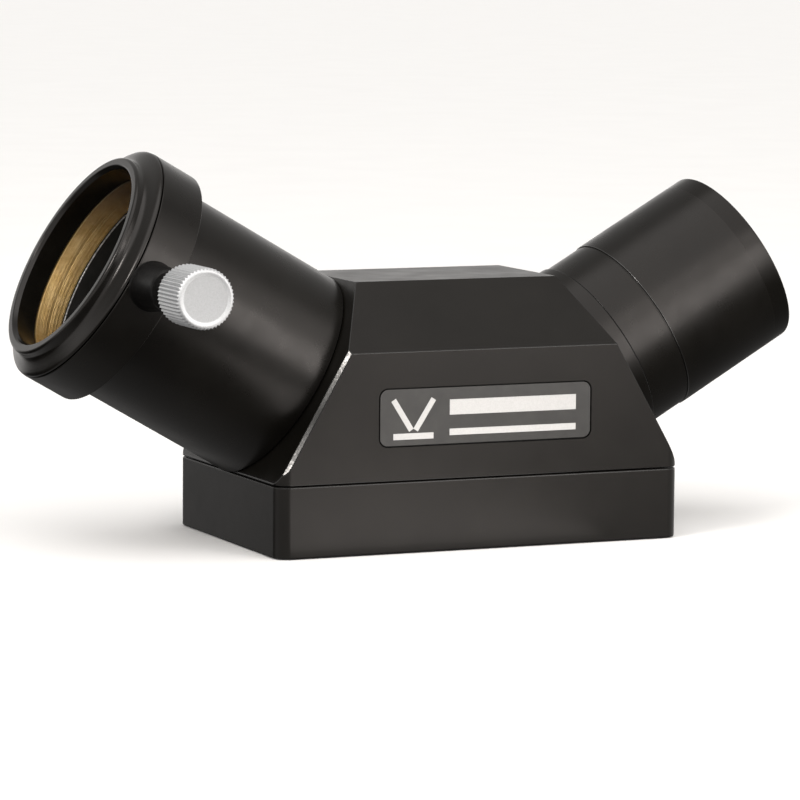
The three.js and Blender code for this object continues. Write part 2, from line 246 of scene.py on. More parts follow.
class Finish:
    """A node material: a Principled shader, and short names for the nodes that feed it."""

    def __init__(self, name, **sockets):
        self.material = bpy.data.materials.new(name)
        self.material.use_nodes = True
        self.tree = self.material.node_tree
        self.shader = self.tree.nodes["Principled BSDF"]
        for socket, value in sockets.items():
            self.shader.inputs[socket.replace("_", " ")].default_value = value

    def node(self, kind, **inputs):
        made = self.tree.nodes.new("ShaderNode" + kind)
        for socket, value in inputs.items():
            self.set(made.inputs[socket.replace("_", " ")], value)
        return made

    def set(self, socket, value):
        if isinstance(value, bpy.types.NodeSocket):
            self.tree.links.new(value, socket)
        else:
            socket.default_value = value

    def feed(self, socket, value):
        self.set(self.shader.inputs[socket], value)

    def place(self):
        """The point on the piece, in metres in the row's frame."""
        return self.node("TexCoord").outputs["Object"]

    def along(self, axis):
        """How far the point lies along a direction, in metres."""
        dot = self.node("VectorMath")
        dot.operation = "DOT_PRODUCT"
        self.set(dot.inputs[0], self.place())
        dot.inputs[1].default_value = axis
        return dot.outputs["Value"]

    def noise(self, per_mm, detail=3.0, roughness=0.55, vector=None):
        """Mottling in all directions, with about per_mm blotches to the millimetre."""
        made = self.node("TexNoise", Scale=per_mm / MM, Detail=detail, Roughness=roughness)
        self.set(made.inputs["Vector"], vector or self.place())
        return made.outputs["Fac"]

    def rings(self, axis, per_mm, detail=4.0):
        """Fine turning marks: mottling that changes along one axis only."""
        made = self.node("TexNoise", Scale=per_mm / MM, Detail=detail)
        made.noise_dimensions = "1D"
        self.set(made.inputs["W"], self.along(axis))
        return made.outputs["Fac"]

    def streaks(self, stretch, per_mm, detail=3.0):
        """Milling grain: mottling drawn out along the axes where stretch is small."""
        scaled = self.node("VectorMath")
        scaled.operation = "MULTIPLY"
        self.set(scaled.inputs[0], self.place())
        scaled.inputs[1].default_value = stretch
        return self.noise(per_mm, detail, vector=scaled.outputs["Vector"])

    def ramp(self, factor, low, high, start=0.3, stop=0.7):
        """A factor's stretch from start to stop, turned into a number between low and high."""
        made = self.node("MapRange", From_Min=start, From_Max=stop, To_Min=low, To_Max=high)
        self.set(made.inputs["Value"], factor)
        return made.outputs["Result"]

    def maths(self, operation, *values):
        """One sum, of sockets or numbers."""
        made = self.node("Math")
        made.operation = operation
        for socket, value in zip(made.inputs, values):
            self.set(socket, value)
        return made.outputs[0]

    def blend(self, factor, one, two):
        """A colour between two, of which the first may be a socket."""
        made = self.node("Mix")
        made.data_type = "RGBA"
        self.set(made.inputs["Factor"], factor)
        self.set(made.inputs["A"], one if isinstance(one, bpy.types.NodeSocket) else (*one, 1))
        made.inputs["B"].default_value = (*two, 1)
        return made.outputs["Result"]

    def tones(self, factor, dark, light):
        """A factor turned into a colour between two."""
        return self.blend(self.ramp(factor, 0, 1), dark, light)

    def bumps(self, *layers):
        """Adds bump layers, each given as (height factor, depth in mm)."""
        normal = None
        for factor, depth in layers:
            bump = self.node("Bump", Strength=1.0, Distance=depth * MM)
            self.set(bump.inputs["Height"], factor)
            if normal:
                self.set(bump.inputs["Normal"], normal)
            normal = bump.outputs["Normal"]
        self.feed("Normal", normal)


def floor_paper(name, colour):
    """Matt paper with a faint mottle."""
    f = Finish(name, Roughness=0.9)
    dark = [c * 0.99 for c in colour]
    light = [c * 1.01 for c in colour]
    f.feed("Base Color", f.tones(f.noise(0.02), dark, light))
    return f.material


EYE_AXIS = EYE.to_3x3() @ UP
NOSE_AXIS = NOSE.to_3x3() @ UP
SCREW_AXIS = SCREW.to_3x3() @ UP

ANODISED_DARK = (0.0032, 0.0028, 0.0021)
ANODISED_LIGHT = (0.0052, 0.0046, 0.0036)
ANODISED_SHEEN = (1, 0.962, 0.948, 1)

# Heights above the base, in metres.
PAINTED_GLINT_LEAST = 0.037  # where the bare edges show the least aluminium and the least painted glint
PAINTED_SHADE_HEIGHTS = (0.079, 0.092)  # where the painted shade at the top of the brass ring starts and is full


def turned_anodised(name, axis, roughness=0.29, specular=0.25):
    """Black anodised aluminium with the lathe's fine rings under it."""
    f = Finish(name, IOR=1.5, Specular_IOR_Level=specular, Specular_Tint=ANODISED_SHEEN)
    rings = f.rings(axis, 9)
    cloud = f.noise(0.06)
    grain = f.noise(3.5, detail=3)
    f.feed("Base Color", f.tones(cloud, ANODISED_DARK, ANODISED_LIGHT))
    f.feed("Roughness", f.ramp(f.noise(0.15), roughness - 0.03, roughness + 0.04))
    f.bumps((rings, 0.0012), (grain, 0.004))
    return f.material


def milled_anodised(name, roughness=0.33):
    """Black anodised aluminium with a blasted grain and faint milling streaks along X."""
    f = Finish(name, IOR=1.5, Specular_IOR_Level=0.25, Specular_Tint=ANODISED_SHEEN)
    streaks = f.streaks((0.04, 1, 1), 5)
    grain = f.noise(3.5, detail=3)
    f.feed("Base Color", f.tones(f.noise(0.05), ANODISED_DARK, ANODISED_LIGHT))
    f.feed("Roughness", f.ramp(f.noise(0.12), roughness - 0.03, roughness + 0.04))
    f.bumps((streaks, 0.0012), (grain, 0.004))
    return f.material


def worn_edge(name, roughness=0.24, specular=0.3):
    """A machined edge, where the black is thin and the aluminium shows in small flecks."""
    f = Finish(name, IOR=1.5, Specular_IOR_Level=specular, Roughness=roughness)
    flecks = f.noise(2.2, detail=4)
    f.feed("Base Color", f.tones(flecks, (0.004, 0.0037, 0.0034), (0.012, 0.0115, 0.011)))
    f.feed("Metallic", f.ramp(flecks, -0.12, 0.12))
    return f.material


def bare_edge_with_painted_glint(name):
    """A filed edge where bare aluminium shows through in flecks, with a painted glint: lighter and
    more metallic most of all towards its two ends, by height.
    """
    f = Finish(name, Specular_IOR_Level=0.6)
    flecks = f.noise(1.6, detail=3)
    off_middle = f.maths("ABSOLUTE", f.maths("SUBTRACT", f.along(UP), PAINTED_GLINT_LEAST))
    # painted glint: the edge grows lighter and more metallic with height away from a middle height
    painted_glint = f.ramp(off_middle, 0.08, 0.48, start=0.004, stop=0.014)
    bare_and_glint = f.maths("ADD", painted_glint, f.ramp(flecks, -0.2, 0.15))
    f.feed("Metallic", bare_and_glint)
    f.feed("Base Color", f.tones(bare_and_glint, (0.03, 0.029, 0.027), (0.52, 0.51, 0.5)))
    f.feed("Roughness", f.ramp(flecks, 0.3, 0.4))
    return f.material


def gloss_anodised(name, axis):
    """Polished black anodised, for the front ring."""
    f = Finish(name, IOR=1.5, Specular_IOR_Level=0.32, Specular_Tint=ANODISED_SHEEN)
    f.feed("Base Color", f.tones(f.noise(0.1), ANODISED_DARK, ANODISED_LIGHT))
    f.feed("Roughness", f.ramp(f.noise(0.2), 0.19, 0.25))
    f.bumps((f.rings(axis, 5), 0.0008))
    return f.material


def inner_black(name, axis):
    """Dull black inside the tubes and the housing."""
    f = Finish(name, IOR=1.4, Specular_IOR_Level=0.25)
    f.feed("Base Color", f.tones(f.noise(0.3), (0.009, 0.009, 0.008), (0.015, 0.0145, 0.0135)))
    f.feed("Roughness", f.ramp(f.noise(0.8), 0.55, 0.7))
    f.bumps((f.rings(axis, 3), 0.003))
    return f.material


def turned_brass(name, axis):
    """Brass with coarse turning grooves, and painted shade: a dark brown round the top of the ring.
    """
    f = Finish(name, Metallic=0.9)
    stain = f.noise(0.35, detail=6, roughness=0.7)
    unshaded_brass = f.tones(stain, (0.70, 0.44, 0.15), (1.0, 0.72, 0.33))
    # painted shade: the brass turns dark brown towards the top of the ring
    top_shade = f.ramp(f.along(UP), 0, 1, *PAINTED_SHADE_HEIGHTS)
    f.feed("Base Color", f.blend(top_shade, unshaded_brass, (0.22, 0.17, 0.12)))
    f.feed("Roughness", f.ramp(stain, 0.42, 0.3))
    f.bumps((f.rings(axis, 4), 0.13), (f.noise(3), 0.02))
    return f.material


def tumbled_aluminium_painted_light(name, axis, painted_light=1.0):
    """Bright tumbled aluminium with faint turning rings; a factor scales its colour, as painted
    light or shade on one part of a piece.
    """
    f = Finish(name, Metallic=0.8)
    grain = f.noise(3.5, detail=4)
    dark = tuple(painted_light * c for c in (0.395, 0.402, 0.408))
    light = tuple(painted_light * c for c in (0.495, 0.503, 0.512))
    f.feed("Base Color", f.tones(grain, dark, light))
    f.feed("Roughness", f.ramp(grain, 0.55, 0.66))
    f.bumps((grain, 0.004), (f.rings(axis, 6), 0.001))
    return f.material


def stainless(name, axis):
    f = Finish(name, Metallic=1.0)
    f.feed("Base Color", f.tones(f.noise(0.6), (0.5, 0.49, 0.47), (0.62, 0.61, 0.6)))
    f.feed("Roughness", f.ramp(f.noise(1.5), 0.25, 0.36))
    f.bumps((f.rings(axis, 12), 0.0008))
    return f.material


def black_oxide(name, axis):
    f = Finish(name, IOR=1.5, Specular_IOR_Level=0.15)
    f.feed("Base Color", f.tones(f.noise(0.8), (0.003, 0.003, 0.003), (0.006, 0.0055, 0.005)))
    f.feed("Roughness", f.ramp(f.noise(1.5), 0.28, 0.4))
    f.bumps((f.rings(axis, 10), 0.001), (f.noise(9), 0.001))
    return f.material


def natural_nylon(name):
    f = Finish(name, Roughness=0.45, Subsurface_Weight=0.15, Subsurface_Scale=0.002)
    f.feed("Base Color", f.tones(f.noise(0.5), (0.68, 0.65, 0.56), (0.76, 0.74, 0.66)))
    f.bumps((f.noise(4), 0.003))
    return f.material


def silicone_bead(name):
    f = Finish(name, IOR=1.42)
    f.feed("Base Color", f.tones(f.noise(0.4), (0.24, 0.24, 0.235), (0.32, 0.32, 0.31)))
    f.feed("Roughness", f.ramp(f.noise(1), 0.4, 0.55))
    f.bumps((f.noise(0.9), 0.02))
    return f.material


def mirror_coat(name):
    """The reflecting coat: almost no texture but a trace of haze."""
    f = Finish(name, Metallic=1.0)
    haze = f.noise(0.04, detail=5)
    f.feed("Base Color", f.tones(haze, (0.90, 0.91, 0.93), (0.95, 0.955, 0.96)))
    f.feed("Roughness", f.ramp(haze, 0.01, 0.03))
    return f.material


def ground_glass(name):
    """The mirror's ground sides and back."""
    f = Finish(name, IOR=1.47)
    f.feed("Base Color", f.tones(f.noise(2), (0.55, 0.6, 0.58), (0.68, 0.72, 0.7)))
    f.feed("Roughness", f.ramp(f.noise(3), 0.5, 0.65))
    f.bumps((f.noise(6), 0.004))
    return f.material


def gloss_plate(name):
    """The nameplate's clear-coated black face."""
    f = Finish(name, Roughness=0.25, IOR=1.5, Coat_Weight=0.22, Coat_Roughness=0.12)
    f.feed("Base Color", f.tones(f.noise(0.2), (0.019, 0.018, 0.017), (0.027, 0.026, 0.024)))
    f.bumps((f.noise(0.25), 0.006))
    return f.material


def white_ink(name):
    f = Finish(name, Roughness=0.35)
    f.feed("Base Color", f.tones(f.noise(3), (0.41, 0.407, 0.401), (0.47, 0.467, 0.46)))
    f.bumps((f.noise(5), 0.002))
    return f.material


# ---------------------------------------------------------------- mesh tools

# Material slots; 0 is a piece's main finish.
EDGE = 1  # rounded edges
BORE = 2  # insides and cut faces
BARE_AND_GLINT = 3  # edges where bare aluminium shows, with a painted glint
STEP = 3  # the nosepiece barrel's step
MOUTH = 4  # the band at the nosepiece's mouth
DISH = 1  # the knob's dished face, with less painted light than the ridges
VALLEY_SHADE = 2  # the bottoms of the knob's knurl, in painted shade
THROUGH = 5  # how far a cutter reaches past the faces that it cuts
MERGE = 1e-4


def finished(name, bm, place, materials, stands_for, body="root", sharp=28):
    """Turns a bmesh in millimetres into a shaded piece that rides on a body and replaces nodes."""
    bmesh.ops.remove_doubles(bm, verts=bm.verts, dist=MERGE)
    bmesh.ops.dissolve_degenerate(bm, edges=bm.edges, dist=MERGE / 10)
    bmesh.ops.recalc_face_normals(bm, faces=bm.faces)
    bm.transform(Matrix.Scale(MM, 4) @ place)
    mesh = bpy.data.meshes.new(name)
    bm.to_mesh(mesh)
    bm.free()
    for material in materials:
        mesh.materials.append(material)
    mesh.shade_smooth()
    mesh.set_sharp_from_angle(angle=math.radians(sharp))
    piece = bpy.data.objects.new(name, mesh)
    bpy.context.collection.objects.link(piece)
    weighted = piece.modifiers.new("weighted_normals", "WEIGHTED_NORMAL")
    weighted.keep_sharp = True
    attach(piece, body)
    if stands_for:
        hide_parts(stands_for)
    return piece


def arc(before, corner, after, radius, steps):
    """The points that round off a corner of an outline with a circle of that radius."""
    back = (before - corner).normalized()
    ahead = (after - corner).normalized()
    half = back.angle(ahead) / 2
    room = 0.48 * min((before - corner).length, (after - corner).length)
    reach = min(radius / math.tan(half), room)
    real = reach * math.tan(half)
    centre = corner + (back + ahead).normalized() * (real / math.sin(half))
    first = corner + back * reach - centre
    last = corner + ahead * reach - centre
    swing = first.angle_signed(last)
    return [centre + Matrix.Rotation(-swing * i / steps, 2) @ first for i in range(steps + 1)]


def rounded(corners, steps=5):
    """An outline from (x, y) or (x, y, rounding) corners: its points, and which parts are arcs."""
    points, on_arc = [], []
    for i, corner in enumerate(corners):
        here = Vector(corner[:2])
        if len(corner) < 3 or corner[2] == 0:
            points.append(here)
            on_arc.append(False)
            continue
        before = Vector(corners[i - 1][:2])
        after = Vector(corners[(i + 1) % len(corners)][:2])
        made = arc(before, here, after, corner[2], steps)
        points += made
        on_arc += [True] * (len(made) - 1) + [False]
    return points, on_arc


def skin(bm, rows, slots, closed_along, closed_round):
    """Quads between rows of points; slots gives each gap between rows its material."""
    made = [[bm.verts.new(p) for p in row] for row in rows]
    gaps = len(rows) if closed_along else len(rows) - 1
    columns = len(rows[0]) if closed_round else len(rows[0]) - 1
    for i in range(gaps):
        one, two = made[i], made[(i + 1) % len(rows)]
        for j in range(columns):
            k = (j + 1) % len(rows[0])
            face = bm.faces.new((one[j], one[k], two[k], two[j]))
            face.material_index = slots[i]


def lathe(corners, segments=192, slot_of=None, steps=5):
    """A solid of revolution from a closed outline of (radius, height, rounding) corners.

    slot_of(radius, height) may give a stretch of the outline a material of its own.
    """
    points, on_arc = rounded(corners, steps)
    slots = []
    for i, point in enumerate(points):
        middle = (point + points[(i + 1) % len(points)]) / 2
        special = slot_of(*middle) if slot_of else 0
        slots.append(special or (EDGE if on_arc[i] else 0))
    angles = [TURN * j / segments for j in range(segments)]
    rows = [[(p.x * math.cos(a), p.x * math.sin(a), p.y) for a in angles] for p in points]
    bm = bmesh.new()
    skin(bm, rows, slots, closed_along=True, closed_round=True)
    return bm


def stack(rings, segments, slots=None):
    """A solid from rings, each a function of the angle to (radius, height), from axis to axis."""
    angles = [TURN * j / segments for j in range(segments)]
    rows = []
    for at in rings:
        pairs = [at(a) for a in angles]
        rows.append([(r * math.cos(a), r * math.sin(a), z) for (r, z), a in zip(pairs, angles)])
    bm = bmesh.new()
    skin(bm, rows, slots or [0] * len(rings), closed_along=False, closed_round=True)
    return bm


def even(radius, height):
    """A plain round ring for stack()."""
    return lambda angle: (radius, height)


def carved(low, high, planes):
    """A box cut back by planes, each (point, outward normal)."""
    bm = bmesh.new()
    box = Matrix.Translation((low + high) / 2) @ Matrix.Diagonal((*(high - low), 1))
    bmesh.ops.create_cube(bm, size=1, matrix=box)
    for point, normal in planes:
        cut = bmesh.ops.bisect_plane(
            bm, geom=bm.verts[:] + bm.edges[:] + bm.faces[:], dist=1e-5,
            plane_co=point, plane_no=normal, clear_outer=True)
        rim = [e for e in cut["geom_cut"] if isinstance(e, bmesh.types.BMEdge)]
        if rim:
            bmesh.ops.contextual_create(bm, geom=rim)
    bmesh.ops.recalc_face_normals(bm, faces=bm.faces)
    return bm


def corner_planes(length, width, radius, steps=9):
    """Planes that round the four upright corners of a block about the origin."""
    planes = []
    for side_x in (-1, 1):
        for side_y in (-1, 1):
            hub = Vector((side_x * (length / 2 - radius), side_y * (width / 2 - radius), 0))
            for i in range(1, steps):
                angle = math.pi / 2 * i / steps
                normal = Vector((side_x * math.cos(angle), side_y * math.sin(angle), 0))
                planes.append((hub + normal * radius, normal))
    return planes


def soften(bm, width, least_angle=24, segments=3):
    """Rounds every edge sharper than an angle; the new faces get the edge material."""
    sharp = [e for e in bm.edges
             if len(e.link_faces) == 2 and e.calc_face_angle(0) > math.radians(least_angle)]
    bmesh.ops.bevel(bm, geom=sharp, offset=width, offset_type="OFFSET", segments=segments,
                    profile=0.5, affect="EDGES", material=EDGE, clamp_overlap=True)


def cut_away(bm, cutters, materials):
    """Subtracts closed bmeshes; a cut face takes the material that its cutter's faces carry."""
    def object_of(name, mesh_bm):
        mesh = bpy.data.meshes.new(name)
        mesh_bm.to_mesh(mesh)
        mesh_bm.free()
        for material in materials:
            mesh.materials.append(material)
        made = bpy.data.objects.new(name, mesh)
        bpy.context.collection.objects.link(made)
        return made

    blank = object_of("blank", bm)
    tools = [object_of("tool", cutter) for cutter in cutters]
    for tool in tools:
        modifier = blank.modifiers.new("cut", "BOOLEAN")
        modifier.operation = "DIFFERENCE"
        modifier.solver = "EXACT"
        modifier.object = tool
    depsgraph = bpy.context.evaluated_depsgraph_get()
    result = bmesh.new()
    result.from_mesh(blank.evaluated_get(depsgraph).to_mesh())
    for scrap in (blank, *tools):
        bpy.data.objects.remove(scrap)
    return result


def moved(bm, place):
    """The same bmesh, put at a placing matrix."""
    bm.transform(place)
    return bm


def painted(bm, slot):
    """The same bmesh with every face in one material slot."""
    for face in bm.faces:
        face.material_index = slot
    return bm


def rounded_slab(length, width, radius, low, high):
    """A rounded rectangle in XY between two heights, about the origin."""
    return carved(
        Vector((-length / 2, -width / 2, low)), Vector((length / 2, width / 2, high)),
        corner_planes(length, width, radius))


def plain_rod(radius, low, high, segments=64):
    """A round bar on the Z axis."""
    return clean(lathe([(0, low), (radius, low), (radius, high), (0, high)], segments))


def clean(bm):
    """Merges the points that a lathe leaves on its axis."""
    bmesh.ops.remove_doubles(bm, verts=bm.verts, dist=MERGE)
    bmesh.ops.recalc_face_normals(bm, faces=bm.faces)
    return bm


# ---------------------------------------------------------------- base plate, mirror, screws

CORNER = 4.0
EDGE_ROUNDING = 0.45
HEAD_BORE = 3.85
HEAD_HEIGHT = 4
SCREW_BORE = 2.35
screw_nodes = [f"base_screw_{i}" for i in range(1, 5)]


def at_screw(node):
    """The upright place of a base screw, with its heights unchanged."""
    low, high = cad_box(node)
    return standing((low.x + high.x) / 2, (low.y + high.y) / 2, 0)


def make_base_plate(materials):
    """The block with a pocket for the mirror and four counterbored holes."""
    size = base_high - base_low
    block = rounded_slab(size.x, size.y, CORNER, base_low.z, base_high.z)
    soften(block, EDGE_ROUNDING)
    play, pocket_corner = 2, 4
    mirror_size = mirror_high - mirror_low
    pads_low, _ = cad_box("mirror_pad_1")
    top = base_high.z + THROUGH
    pocket = rounded_slab(mirror_size.x + play, mirror_size.y + play, pocket_corner,
                          pads_low.z, top)
    cutters = [painted(pocket, BORE)]
    for node in screw_nodes:
        low, _ = cad_box(node)
        seat = low.z + HEAD_HEIGHT
        bore = clean(lathe([(0, -THROUGH), (HEAD_BORE, -THROUGH), (HEAD_BORE, seat),
                            (SCREW_BORE, seat), (SCREW_BORE, top), (0, top)], 64))
        cutters.append(painted(moved(bore, at_screw(node)), BORE))
    block = cut_away(block, cutters, materials)
    finished("base_block", block, standing(), materials, "base_plate")


def make_mirror(materials):
    size = mirror_high - mirror_low
    glass = rounded_slab(size.x, size.y, 3, mirror_low.z, mirror_high.z)
    soften(glass, 0.5, segments=1)
    for face in glass.faces:
        face.material_index = 0 if face.normal.z > 0.99 else 1
    finished("mirror_glass", glass, standing(), materials, "mirror")


def make_mirror_pads(material):
    for i in range(1, 4):
        low, high = cad_box(f"mirror_pad_{i}")
        radius = (high.x - low.x) / 2
        bead = lathe([(0, low.z), (radius - 0.2, low.z, 0.1), (radius, (low.z + high.z) / 2, 0.3),
                      (radius - 0.3, high.z, 0.1), (0, high.z)], 64)
        finished(f"mirror_bead_{i}", bead, standing((low.x + high.x) / 2, (low.y + high.y) / 2),
                 [material, material], f"mirror_pad_{i}")


def make_base_screws(materials):
    """Socket-head screws seen from below, with a rolled thread on the shank."""
    pitch, thread_depth = 0.7, 0.35
    head, shank, point = 3.5, 2.0, 1.5
    across_flats, socket_depth, socket_bevel = 3.0, 2.2, 0.15

    def hexagon(height):
        def at(angle):
            off_flat = (angle + math.pi / 6) % (math.pi / 3) - math.pi / 6
            return across_flats / 2 / math.cos(off_flat), height
        return at

    for i, node in enumerate(screw_nodes, 1):
        low, high = cad_box(node)
        socket_floor = low.z + socket_depth
        under = low.z + HEAD_HEIGHT
        first_thread = under + 1
        rings = [
            even(0, socket_floor), hexagon(socket_floor), hexagon(low.z + socket_bevel),
            even(2.0, low.z), even(head - 0.35, low.z), even(head - 0.1, low.z + 0.1),
            even(head, low.z + 0.35), even(head, under - 0.1), even(head - 0.1, under),
            even(shank + 0.2, under), even(shank, under + 0.3),
        ]
        for k in range(int((high.z - first_thread) / pitch)):
            z = first_thread + k * pitch
            rings += [even(shank, z - 0.1), even(shank - thread_depth, z + 0.25)]
        rings += [even(point, high.z), even(0, high.z)]
        finished(f"socket_screw_{i}", stack(rings, 48), at_screw(node), materials,
                 node)


# ---------------------------------------------------------------- housing

SHOULDER = 52.6  # the height where the side faces turn into the long chamfers
TOP_WIDTH = 35.5
SLOPE_START = 19.4  # the height where the sloped ends start
CHAMFER = 1.0


def slope_distance():
    """How far along a tube the housing's sloped end face lies."""
    return math.cos(TILT) * base_high.x + math.sin(TILT) * (SLOPE_START - CROSSING.z)


def house_planes(inset_ends=0.0, inset_top=0.0):
    """The two sloped ends and the two long chamfers, moved in by an inset."""
    planes = []
    for normal in (EYE_AXIS, NOSE_AXIS):
        planes.append((CROSSING + normal * (slope_distance() - inset_ends), normal))
    run = base_high.y - TOP_WIDTH / 2
    rise = house_high.z - SHOULDER
    for side in (-1, 1):
        normal = Vector((0, side * rise, run)).normalized()
        planes.append((Vector((0, side * base_high.y, SHOULDER)) - normal * inset_top, normal))
    return planes


def line_on_both(point_a, normal_a, point_b, normal_b):
    """A point on the line where two planes meet."""
    along = normal_a.cross(normal_b)
    rows = Matrix((normal_a, normal_b, along))
    return rows.inverted() @ Vector((normal_a.dot(point_a), normal_b.dot(point_b), 0))


def edge_chamfers():
    """Planes that take the corner off the eyepiece end's two long side edges."""
    end_point, end_normal = house_planes()[0]
    planes = []
    for side in (-1, 1):
        side_normal = Vector((0, side, 0))
        meet = line_on_both(end_point, end_normal, side_normal * base_high.y, side_normal)
        normal = (end_normal + side_normal).normalized()
        planes.append((meet - normal * CHAMFER / math.sqrt(2), normal))
    return planes


def make_housing(materials):
    """The block, hollow inside, with bores for both tubes and a recess for the nameplate."""
    outline = corner_planes(base_high.x * 2, base_high.y * 2, CORNER)
    low = Vector((-base_high.x, -base_high.y, house_low.z))
    high = Vector((base_high.x, base_high.y, house_high.z))
    shell = carved(low, high, outline + house_planes() + edge_chamfers())
    # The chamfers take the bare edge material, with its painted glint.
    for face in shell.faces:
        if any(face.normal.dot(normal) > 0.9999 for _, normal in edge_chamfers()):
            face.material_index = BARE_AND_GLINT
    soften(shell, 0.22, least_angle=18, segments=2)
    wall, chamfer_wall, roof, half_width = 8, 7, 6, 26.5
    cavity_low = Vector((low.x + wall / math.cos(TILT), -half_width, low.z - THROUGH))
    cavity_high = Vector((-cavity_low.x, half_width, high.z - roof))
    cavity = carved(cavity_low, cavity_high, house_planes(wall, chamfer_wall))
    cutters = [painted(cavity, BORE)]
    inner_end, outer_end = slope_distance() - wall - THROUGH, slope_distance() + THROUGH
    for place, radius in ((EYE, 25.3), (NOSE, flange_radius + 0.15)):
        cutters.append(painted(moved(plain_rod(radius, inner_end, outer_end, 128), place), BORE))
    for node in screw_nodes:
        cutters.append(painted(moved(plain_rod(SCREW_BORE, 0, 30, 48), at_screw(node)), BORE))
    play, recess_corner, recess_depth = 0.7, 2.55, 1.2
    recess = rounded_slab(plate_high.x - plate_low.x + play, plate_high.z - plate_low.z + play,
                          recess_corner, -recess_depth, THROUGH)
    cutters.append(painted(moved(recess, plate_place()), BORE))
    shell = cut_away(shell, cutters, materials)
    finished("housing_shell", shell, standing(), materials, "housing")


# ---------------------------------------------------------------- nameplate


def plate_place():
    """Local Z points out of the near side face, at the nameplate's middle."""
    middle = (plate_low + plate_high) / 2
    return standing(middle.x, -base_high.y, middle.z) @ Matrix.Rotation(math.pi / 2, 4, "X")


def stroke(start, end, thickness, low, high):
    """A straight bar with square ends between two points in XY."""
    start, end = Vector((*start, 0)), Vector((*end, 0))
    along = end - start
    bm = carved(Vector((0, -thickness / 2, low)), Vector((along.length, thickness / 2, high)), [])
    turn = Matrix.Rotation(math.atan2(along.y, along.x), 4, "Z")
    return moved(bm, Matrix.Translation(start) @ turn)


def make_nameplate(plate_materials, ink):
    """A plate with a light-path sign, two rays that meet on a mirror, and two plain bars."""
    length = plate_high.x - plate_low.x
    height = plate_high.z - plate_low.z
    back = -base_high.y - plate_high.y
    face = -base_high.y - plate_low.y
    plate = rounded_slab(length, height, 2.2, back, face)
    soften(plate, 0.12, segments=2)
    finished("nameplate_plate", plate, plate_place(), plate_materials, "nameplate")
    marks = {
        # name: (start, end, thickness)
        "ray_in": ((-26.5, 4.6), (-21.4, -3.4), 1.5),
        "ray_out": ((-20.2, -3.4), (-15.1, 4.6), 1.5),
        "mirror_line": ((-26.5, -5.0), (-15.1, -5.0), 1.6),
        "long_bar": ((-10.5, 2.2), (26.0, 2.2), 4.0),
        "thin_bar": ((-10.5, -4.3), (26.0, -4.3), 1.7),
    }
    for name, (start, end, thickness) in marks.items():
        bm = stroke(start, end, thickness, face - 0.02, face + 0.03)
        piece = finished("nameplate_" + name, bm, plate_place(), [ink], None)
        piece.modifiers.clear()


# ---------------------------------------------------------------- eyepiece side

THROAT = 23.4
SOCKET = 25.6
LEDGE = 66.0
RING_SEAT = 27.6  # the radius where the front ring's spigot meets the tube


def grooves(radius, start, end, pitch, depth):
    """The corners of a row of V grooves inside a bore, listed from end back to start."""
    corners = []
    count = int((end - start) / pitch)
    for i in range(count):
        z = end - i * pitch
        corners += [(radius, z), (radius + depth, z - pitch / 2)]
    return corners


def make_eyepiece_tube(materials):
    """The tube with its spigot in the housing, a socket, a ledge and a grooved throat."""
    spigot, gap = 25.0, 0.3
    shoulder = slope_distance() + gap
    corners = [
        (THROAT, tube_start, 0.2), (spigot, tube_start, 0.2), (spigot, shoulder),
        (tube_radius, shoulder, 0.15), (tube_radius, collar_start - gap, 0.1),
        (RING_SEAT, collar_start - gap), (RING_SEAT, tube_end, 0.2), (SOCKET, tube_end, 0.4),
        (SOCKET, LEDGE), (THROAT + 0.8, LEDGE, 0.2),
        *grooves(THROAT, tube_start + 1, LEDGE - 1, 1.5, 0.8),
    ]

    def inside(radius, height):
        # The socket's ledge takes the bare edge material, with its painted glint.
        if radius < SOCKET + 0.35 and height > tube_end - 0.4:
            return BARE_AND_GLINT
        return BORE if radius < SOCKET + 0.05 else 0

    finished("eyepiece_barrel_tube", lathe(corners, slot_of=inside), EYE, materials,
             "eyepiece_tube")


def make_clamp_collar(materials):
    """The wide band round the tube's end, with a hole for the boss."""
    bore, boss_hole = 27.9, 4.3
    corners = [
        (bore, collar_start, 0.1), (collar_radius, collar_start, 0.2),
        (collar_radius, collar_end, 0.28), (bore, collar_end, 0.1),
    ]
    hole = plain_rod(boss_hole, bore - THROUGH, collar_radius + THROUGH)
    hole = painted(moved(hole, EYE.inverted() @ SCREW), BORE)
    collar = cut_away(clean(lathe(corners)), [hole], materials)
    finished("collar_band", collar, EYE, materials, "clamp_collar")


def bezier(a, b, c, d, steps=14):
    """Points along a cubic curve from a to d, pulled towards b and c."""
    points = []
    for i in range(steps + 1):
        t = i / steps
        u = 1 - t
        weights = (u ** 3, 3 * u * u * t, 3 * u * t * t, t ** 3)
        points.append([sum(w * p[k] for w, p in zip(weights, (a, b, c, d))) for k in (0, 1)])
    return points


def make_front_ring(materials):
    """The spigot, the glossy rounded shoulder that runs into a hollow, and the lip."""
    bore = 25.7
    lip = 28.8
    shoulder = rim_start + 1.12
    corners = [
        (bore, rim_start, 0.1), (RING_SEAT, rim_start, 0.1), (RING_SEAT, shoulder),
        (rim_radius - 0.4, shoulder, 0.1),
        *bezier((rim_radius, shoulder + 0.3), (rim_radius, shoulder + 1.6),
                (lip + 0.4, shoulder + 1.9), (lip, shoulder + 3.5)),
        (lip, rim_end, 0.9), (bore + 0.7, rim_end, 0.6), (bore, rim_end - 1.1, 0.3),
    ]
    finished("front_ring", lathe(corners, segments=256, steps=8), EYE, materials,
             "front_lip_ring")


